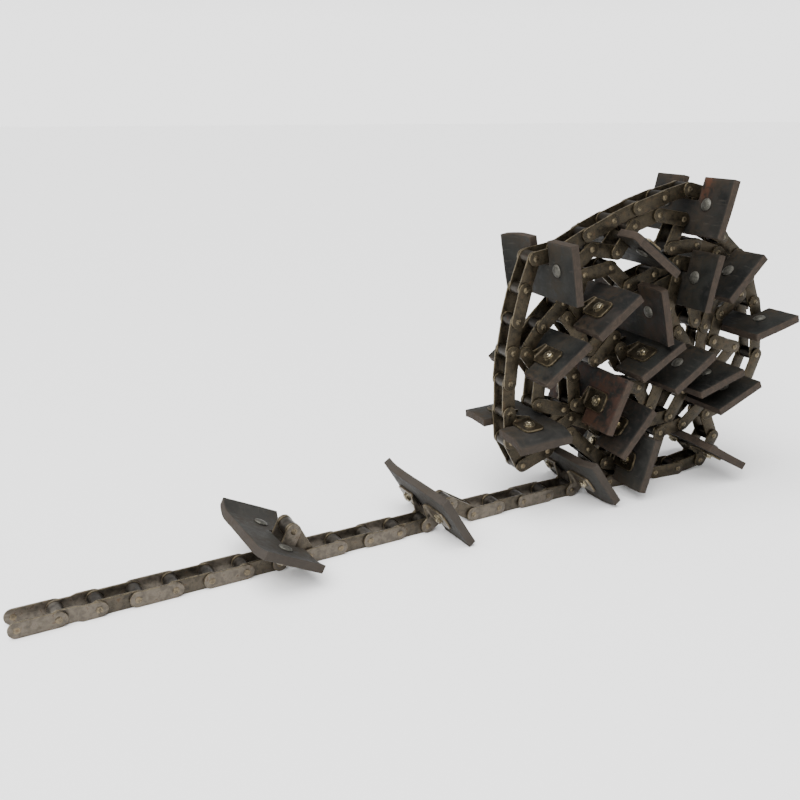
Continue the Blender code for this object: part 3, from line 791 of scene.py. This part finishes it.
# %% [markdown]
# ## The ear that is bent into a flange
# On a paddle link the side plate rises, bends outwards through a right angle and lies flat against
# the back of the paddle. Sheet that is bent keeps its thickness, so it is made as a sheet that
# follows an L-shaped path, with its own low and high edge at each station.

# %% Bend an ear
def bent_ear(side):
    middle, back, radius = (OUTER_IN + OUTER_OUT) / 2, PADDLE_BACK - FLANGE_THICK / 2, 0.0038
    stations = []       # of the sheet: place x and y, its normal x and y, its low and high edge
    for x, top in ((-0.0152, 0.0098), (-0.0128, 0.0175), (back - radius, 0.0272)):
        stations.append((x, middle, 0.0, 1.0, 0.0080, top))
    for i in range(1, 5):
        a = math.radians(90 * i / 4)
        low = 0.0080 - (0.0080 - 0.0015) * i / 4
        stations.append((back - radius + radius * math.sin(a), middle + radius * (1 - math.cos(a)),
                         -math.sin(a), math.cos(a), low, EAR_TOP))
    for y, cut in ((0.030, 0), (0.0455, 0), (0.0485, 0.0008), (0.0507, 0.0026), (FLANGE_END, 0.0055)):
        stations.append((back, y, -1.0, 0.0, 0.0015 + cut, EAR_TOP - cut))
    bm = bmesh.new()
    rim = bm.verts.layers.float.new("rim")
    grid = []
    for x, y, nx, ny, low, high in stations:
        row = []
        for way in (FLANGE_THICK / 2, -FLANGE_THICK / 2):
            for share in (0.0, 0.06, 0.94, 1.0)[::1 if way > 0 else -1]:      # rows near each edge; the rounded edge gets bare metal and a painted highlight
                vert = bm.verts.new((x + way * nx, side * (y + way * ny), low + (high - low) * share))
                vert[rim] = 0.3
                row.append(vert)
        grid.append(row)
    around = len(grid[0])
    for a, b in zip(grid, grid[1:]):
        for i in range(around):
            bm.faces.new([a[i], a[(i + 1) % around], b[(i + 1) % around], b[i]])
    bm.faces.new(grid[0])
    bm.faces.new(grid[-1])
    bmesh.ops.recalc_face_normals(bm, faces=bm.faces)
    sharp = [e for e in bm.edges if e.calc_face_angle(0) > math.radians(50)]
    made = bmesh.ops.bevel(bm, geom=sharp, offset=WORN, segments=2, affect="EDGES", profile=0.5)
    # the rounded edges get rim 1: bare metal and a painted highlight in the steel finish
    for face in made["faces"]:
        for vert in face.verts:
            vert[rim] = 1.0
    return mesh_from(bm, "ear")


EARS = {side: bent_ear(side) for side in (1, -1)}
print("faces in an ear:", len(EARS[1].polygons))

# %% [markdown]
# ## Whole links to copy
# There are only a few kinds of link, and each is put together once. The value part says what a face
# belongs to, so that one mesh can carry several finishes when the links are laid out.

# %% Put the kinds of link together
ACROSS = Matrix.Rotation(math.radians(90), 4, "X")
ALONG = Matrix.Rotation(math.radians(90), 4, "Y")
PARTS = ["plate", "roller", "pin", "nut", "head"]


def at(x=0.0, y=0.0, z=0.0):
    return Matrix.Translation((x, y, z))


def assemble(name, pieces):
    """Joins copies of meshes into one object: mesh, matrix, and the name of its finish."""
    bm = bmesh.new()
    part = bm.faces.layers.int.new("part")
    for mesh, matrix, look in pieces:
        verts, faces = len(bm.verts), len(bm.faces)
        bm.from_mesh(mesh)
        bm.verts.ensure_lookup_table()
        bm.faces.ensure_lookup_table()
        bmesh.ops.transform(bm, matrix=matrix, verts=bm.verts[verts:])
        for face in bm.faces[faces:]:
            face[part] = PARTS.index(look)
            face.smooth = True
    whole = mesh_from(bm, name)
    whole.set_sharp_from_angle(angle=math.radians(40))
    return bpy.data.objects.new(name, whole)


def plates_at(mesh, middle):
    return [(mesh, at(y=side * middle) @ ACROSS, "plate") for side in (1, -1)]


def pins_at(*ends):
    return [(PIN, at(x=x) @ ACROSS, "pin") for x in ends]


def rollers_at(*ends):
    return [(mesh, at(x=x) @ ACROSS, "roller") for x in ends for mesh in (ROLLER, BUSH)]


outer_mid, inner_mid = (OUTER_IN + OUTER_OUT) / 2, (INNER_IN + INNER_OUT) / 2
front, back = -PADDLE_BACK, PADDLE_BACK - FLANGE_THICK
bolts = []
for side in (1, -1):
    place = at(y=side * BOLT_OUT, z=BOLT_UP)
    bolts += [(BOLT_HEAD, at(x=front) @ place @ ALONG, "head"),
              (WASHER, at(x=back) @ place @ ALONG.inverted(), "nut"),
              (NUT, at(x=back) @ place @ ALONG.inverted(), "nut")]
KINDS = {
    "inner": assemble("inner_link", plates_at(INNER_PLATE, inner_mid) + rollers_at(-HALF, HALF)),
    "outer": assemble("outer_link", plates_at(OUTER_PLATE, outer_mid) + pins_at(-HALF, HALF)),
    "paddle": assemble("paddle_link", plates_at(EARED_PLATE, outer_mid) + pins_at(-HALF, HALF) + bolts
                       + [(EARS[side], at(), "plate") for side in (1, -1)]),
    "end": assemble("end_link", plates_at(OUTER_PLATE, outer_mid) + pins_at(HALF)
                    + [(STUB, at(x=-HALF, y=side * outer_mid) @ ACROSS, "pin") for side in (1, -1)]),
}
for kind, thing in KINDS.items():
    print(kind, "link has", triangles(thing.data), "triangles")

# %% [markdown]
# ## The cranked link
# An odd number of links can only be closed with one link that is narrow at one end and wide at the
# other. Its plates are straight plates that were pressed into a shallow step halfway, so a plain
# plate is cut twice across and everything past the cut moves outwards.

# %% Crank a plate
STEP_HALF = 0.0030      # half the length over which the plate steps outwards


def slice_across(bm, axis, place):
    """Cuts every face at one place of an axis, so that the mesh can bend there."""
    normal = Vector([axis == letter for letter in "xyz"])
    bmesh.ops.bisect_plane(bm, geom=bm.verts[:] + bm.edges[:] + bm.faces[:], dist=1e-6,
                           plane_co=normal * place, plane_no=normal)


def cranked_plate(side):
    bm = bmesh.new()
    bm.from_mesh(INNER_PLATE)
    for x in (-STEP_HALF, STEP_HALF):
        slice_across(bm, "x", x)
    for vert in bm.verts:
        share = clamped((vert.co.x + STEP_HALF) / (2 * STEP_HALF))
        vert.co.z -= side * share * (outer_mid - inner_mid)
    return mesh_from(bm, "cranked_plate")


plates = [(cranked_plate(side), at(y=side * inner_mid) @ ACROSS, "plate") for side in (1, -1)]
KINDS["cranked"] = assemble("cranked_link", plates + rollers_at(-HALF) + pins_at(HALF))
print("kinds of link:", list(KINDS))

# %% [markdown]
# ## Lay the links out
# One point stands for one link, and carries how the link is turned, which kind it is and how far it
# is from the greyer tail. Geometry Nodes put the right kind on each point, give each a tone from a
# seed, make the copies real and give every face its finish. Links that move at different joints
# must be different meshes, so the same tree is used once for each body.

# %% The tree that lays links on points
CARRIED_HERE = "GeometryNodeInputNamedAttribute"
EQUAL = {"data_type": "INT", "operation": "EQUAL"}


def link_tree():
    tree = bpy.data.node_groups.new("lay_links", "GeometryNodeTree")
    wanted = [("Points", "Geometry")] + [(name.capitalize() + " link", "Object") for name in KINDS]
    wanted += [(name.capitalize() + " finish", "Material") for name in PARTS]
    wanted += [("Tone seed", "Int"), ("Tone spread", "Float")]
    made = {name: tree.interface.new_socket(name, in_out="INPUT", socket_type="NodeSocket" + kind)
            for name, kind in wanted}
    made["Tone seed"].default_value, made["Tone spread"].default_value = 7, 1.0
    tree.interface.new_socket("Links", in_out="OUTPUT", socket_type="NodeSocketGeometry")
    given = put(tree, "NodeGroupInput").outputs
    turn = put(tree, CARRIED_HERE, {"data_type": "FLOAT_VECTOR"}, Name="turn")
    turn = put(tree, "FunctionNodeEulerToRotation", Euler=turn)
    kind = put(tree, CARRIED_HERE, {"data_type": "INT"}, Name="kind")
    number = put(tree, CARRIED_HERE, {"data_type": "INT"}, Name="number")
    tone = put(tree, "FunctionNodeRandomValue", {"data_type": "FLOAT"}, ID=number,
               Seed=given["Tone seed"])
    tone = put(tree, MATH, TIMES, in0=tone, in1=given["Tone spread"])
    joined = put(tree, "GeometryNodeJoinGeometry")
    for index, name in enumerate(KINDS):
        mine = put(tree, "FunctionNodeCompare", EQUAL, in0=kind, in1=index)
        source = put(tree, "GeometryNodeObjectInfo", Object=given[name.capitalize() + " link"])
        laid = put(tree, "GeometryNodeInstanceOnPoints", Points=given["Points"], Selection=mine,
                   Instance=source.outputs["Geometry"], Rotation=turn)
        toned = put(tree, "GeometryNodeStoreNamedAttribute", {"data_type": "FLOAT", "domain": "INSTANCE"},
                    Geometry=laid, Name="tone", Value=tone)
        tree.links.new(toned.outputs[0], joined.inputs[0])
    flow = put(tree, "GeometryNodeRealizeInstances", Geometry=joined)
    part = put(tree, CARRIED_HERE, {"data_type": "INT"}, Name="part")
    for index, name in enumerate(PARTS):
        mine = put(tree, "FunctionNodeCompare", EQUAL, in0=part, in1=index)
        flow = put(tree, "GeometryNodeSetMaterial", Geometry=flow, Selection=mine,
                   Material=given[name.capitalize() + " finish"])
    put(tree, "NodeGroupOutput", Links=flow)
    return tree


def kind_of(number):
    if number <= 2:
        return ("end", "cranked")[number - 1]
    return "inner" if number % 2 else "paddle" if has_paddle(number) else "outer"


LAY_LINKS = link_tree()
print("nodes in the tree:", len(LAY_LINKS.nodes))


# %% Use the tree for one body
PALE_TO, PALE_OVER, PALE_INNER = 24, 5, 0.4     # links that are pale, and how much inner ones are


def pale(number):
    """How far a link has the tail's dry, pale finish."""
    share = clamped((PALE_TO - number) / PALE_OVER)
    return share * (PALE_INNER if kind_of(number) == "inner" else 1.0)


def lay_links(name, numbers, body, solids):
    points = bpy.data.meshes.new(name + "_points")
    points.from_pydata([tuple(frames[n].translation) for n in numbers], [], [])
    columns = {"turn": ("FLOAT_VECTOR", [tuple(frames[n].to_euler("XYZ")) for n in numbers]),
               "kind": ("INT", [list(KINDS).index(kind_of(n)) for n in numbers]),
               "number": ("INT", list(numbers)),
               "tail": ("FLOAT", [pale(n) for n in numbers])}
    for key, (kind, values) in columns.items():
        data = points.attributes.new(key, kind, "POINT").data
        for item, value in zip(data, values):
            setattr(item, "vector" if kind == "FLOAT_VECTOR" else "value", value)
    holder = shown(name + "_points", points)
    modifier = holder.modifiers.new("lay", "NODES")
    modifier.node_group = LAY_LINKS
    wires = {item.name: item.identifier for item in LAY_LINKS.interface.items_tree
             if item.in_out == "INPUT"}
    for key, thing in KINDS.items():
        modifier[wires[key.capitalize() + " link"]] = thing
    for key in PARTS:
        modifier[wires[key.capitalize() + " finish"]] = finish[key]
    piece = shown(name, mesh_of(holder))
    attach(piece, body)
    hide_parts(*solids)
    print(name, "on", body, "has", triangles(piece.data), "triangles")


for n in range(1, FIRST_PADDLE):
    lay_links("tail_link_%d" % n, [n], "free_link_%02d" % n, ["link_%02d" % n])
strands = ["strand_%03d" % n for n in range(FIRST, LINKS + 1, PADDLE_EVERY)]
lay_links("coil_links", range(FIRST_PADDLE, LINKS + 1), "coil",
          ["link_%02d" % n for n in range(FIRST_PADDLE, FIRST)] + strands)

# %% [markdown]
# ## Paddles
# A paddle is a flat strip of belting with a notch for the chain, but no two have worn alike: the
# ends curl, the faces are uneven and the edges were cut by hand. So each is made by itself. An
# outline is given its thickness, its edges are rounded, it is cut into strips so that it can bend,
# and then its points are moved: by a curl that grows with the square of the distance from the
# clamped middle, and by a little noise.

# %% Curl, rust and dirt of each paddle
CURL = {            # how far the near and the far end lean to the leading side, metres
    8: (0.004, 0.009), 14: (0.000, 0.003), 20: (0.004, 0.004), 44: (0.000, 0.012), 50: (0.008, 0.003),
    56: (0.005, 0.005), 74: (0.008, 0.003), 86: (0.003, 0.003), 98: (0.003, 0.002), 104: (0.003, 0.003),
    110: (0.003, 0.003), 122: (0.004, 0.003),
}
RUST = {38: 0.03, 86: 0.06, 104: 0.06, 110: 0.28, 122: 0.08}       # 0 is none and 1 is all over
STREAK = {38: (-0.028, 0.015, 0.014)}      # a streak of rust from the outer edge: y, half width, end
DUST = {8: 0.25, 14: 0.33, 20: 0.2, 44: 0.05, 50: 0.15, 56: 0.1}
print("paddles that curl:", len(CURL), "with rust:", len(RUST), "with dust:", len(DUST))


# %% Make a paddle
CLAMPED, FREE = 0.044, 0.052    # a paddle is stiff up to the first and uneven past the second
UNEVEN, WAVER = (0.0006, 28), (0.0005, 60)      # faces and cut edges: height, swells in a metre
STRIPS = [("y", y / 1000) for y in range(-68, 72, 4)] + [("z", z / 1000) for z in range(-15, 53, 6)]
STRIPS += [("x", -0.0017), ("x", 0.0017)]


def paddle_mesh(name, number):
    low, high = -OUT * PITCH, IN * PITCH
    outline = [(-PADDLE_HALF, low), (-NOTCH_HALF, low), (-NOTCH_HALF, NOTCH_TOP), (NOTCH_HALF, NOTCH_TOP),
               (NOTCH_HALF, low), (PADDLE_HALF, low), (PADDLE_HALF, high), (-PADDLE_HALF, high)]
    bm = bmesh.new()
    layers = {key: bm.verts.layers.float.new(key) for key in ("through", "rim", "rust", "grime", "dust")}
    patch = bm.verts.layers.float_vector.new("patch")
    cut = bm.faces.layers.float.new("cut")
    sheet = bm.faces.new([bm.verts.new((-PADDLE_THICK / 2, y, z)) for y, z in outline])
    made = bmesh.ops.extrude_face_region(bm, geom=[sheet])["geom"]
    moved = [v for v in made if isinstance(v, bmesh.types.BMVert)]
    bmesh.ops.translate(bm, vec=(PADDLE_THICK, 0, 0), verts=moved)
    bmesh.ops.recalc_face_normals(bm, faces=bm.faces)
    bmesh.ops.bevel(bm, geom=bm.edges[:], offset=0.0009, segments=2, affect="EDGES", profile=0.5)
    for face in bm.faces:
        face[cut] = 0.0 if abs(face.normal.x) > 0.5 else 1.0
    for axis, place in STRIPS:
        slice_across(bm, axis, place)
    near, far = CURL.get(number, (0.0, 0.0))
    across, width, end = STREAK.get(number, (0.0, 1.0, -1.0))
    seed = Vector((number * 0.37, number * 0.11, 0))
    for vert in bm.verts:
        x, y, z = vert.co
        vert[layers["through"]] = x * 1000
        vert[patch] = (x + number * 0.31, y, z)
        streak = max(0.0, 1 - abs(y - across) / width) * clamped((end - z) / 0.008)
        vert[layers["rust"]] = RUST.get(number, 0.0) + 0.55 * streak
        vert[layers["dust"]] = DUST.get(number, 0.0)
        vert[layers["grime"]] = max(0.0, 1 - abs(abs(y) - 0.030) / 0.030) * 0.5 + max(0.0, -z / 0.04)
        beside = abs(abs(y) - NOTCH_HALF) if z < NOTCH_TOP else 1
        edge = min(PADDLE_HALF - abs(y), high - z, z - low, beside)
        vert[layers["rim"]] = max(0.0, 1 - edge / 0.0015)
        away = max(0.0, (abs(y) - CLAMPED) / (PADDLE_HALF - CLAMPED))
        bend = (near if y < 0 else far) * away ** 2
        free = clamped(max(abs(y) - FREE, z - EAR_TOP) / 0.015)
        bend += free * UNEVEN[0] * noise.noise(vert.co * UNEVEN[1] + seed)
        vert.co.x += bend
        if edge < 0.002 and z > 0.03:
            vert.co.z += WAVER[0] * noise.noise(Vector((y * WAVER[1], 0, number)))
    for face in bm.faces:
        face.smooth = True
    mesh = mesh_from(bm, name)
    mesh.set_sharp_from_angle(angle=math.radians(35))
    mesh.transform(frames[number])
    return mesh


total = 0
for n in range(FIRST_PADDLE, LINKS + 1, PADDLE_EVERY):
    name = "rubber_paddle_%03d" % n
    paddle = shown(name, paddle_mesh(name, n))
    paddle.data.materials.append(finish["rubber"])
    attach(paddle, "coil")
    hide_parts("paddle_%03d" % n)
    total += triangles(paddle.data)
print("paddles have", total, "triangles together")

# %% [markdown]
# ## Studio
# The object is shown on a pale floor in soft light, and from where it was photographed: a little
# above it, close to the tail's end. The camera's place was found from the tail, whose pins are a
# known distance apart. A wide sun stands for the sky overhead, and one softbox fills the near side.

# %% Floor, light and camera
floor_mesh = bpy.data.meshes.new("floor")
floor_mesh.from_pydata([(-30, -30, 0), (30, -30, 0), (30, 30, 0), (-30, 30, 0)], [], [(0, 1, 2, 3)])
paper, tree = fresh_material("white_paper_backdrop")
shader = put(tree, "ShaderNodeBsdfPrincipled", Base_Color=linear("#fbfbfb"), Roughness=0.9)
put(tree, "ShaderNodeOutputMaterial", Surface=shader)
floor_mesh.materials.append(paper)
shown("floor", floor_mesh)

world = bpy.data.worlds.new("studio")
bpy.context.scene.world = world
world.use_nodes = True
world.node_tree.nodes.clear()
# the horizon is as bright as the floor, so that no line shows where they meet
way = put(world.node_tree, "ShaderNodeTexCoord").outputs["Generated"]
rise = put(world.node_tree, "ShaderNodeSeparateXYZ", Vector=way).outputs["Z"]
glow = put(world.node_tree, RANGE, SOFT, Value=rise, From_Min=0.08, From_Max=0.26, To_Min=2.5,
           To_Max=0.55)
sky = put(world.node_tree, "ShaderNodeBackground", Color=(1.0, 1.0, 1.0, 1.0), Strength=glow)
put(world.node_tree, "ShaderNodeOutputWorld", Surface=sky)


def lamp(name, kind, place, aim, power, **shape):
    light = bpy.data.lights.new(name, kind)
    light.energy = power
    for key, value in shape.items():
        setattr(light, key, value)
    holder = shown(name, light)
    holder.location = place
    holder.rotation_euler = (Vector(aim) - Vector(place)).to_track_quat("-Z", "Y").to_euler()


lamp("overcast_sky", "SUN", (-0.9, -0.6, 2.8), (0.2, 0, 0), 6.4, angle=math.radians(70))
lamp("front_softbox", "AREA", (-1.3, -1.8, 1.6), (0.2, 0, 0.15), 30, shape="SQUARE", size=0.9)
lens = bpy.data.cameras.new("camera")
lens.lens, lens.sensor_width = 40.22, 36
lens.clip_start, lens.clip_end = 0.01, 100
camera = shown("camera", lens)
camera.location = Vector((-0.6659, -0.9169, 0.4796)) + SHIFT
camera.rotation_euler = (math.radians(72.04), 0, math.radians(-23.20))
bpy.context.scene.camera = camera
print("camera at", [round(c, 4) for c in camera.location])

# %% Clear away the kinds of link that were copied
for thing in KINDS.values():
    bpy.data.objects.remove(thing)
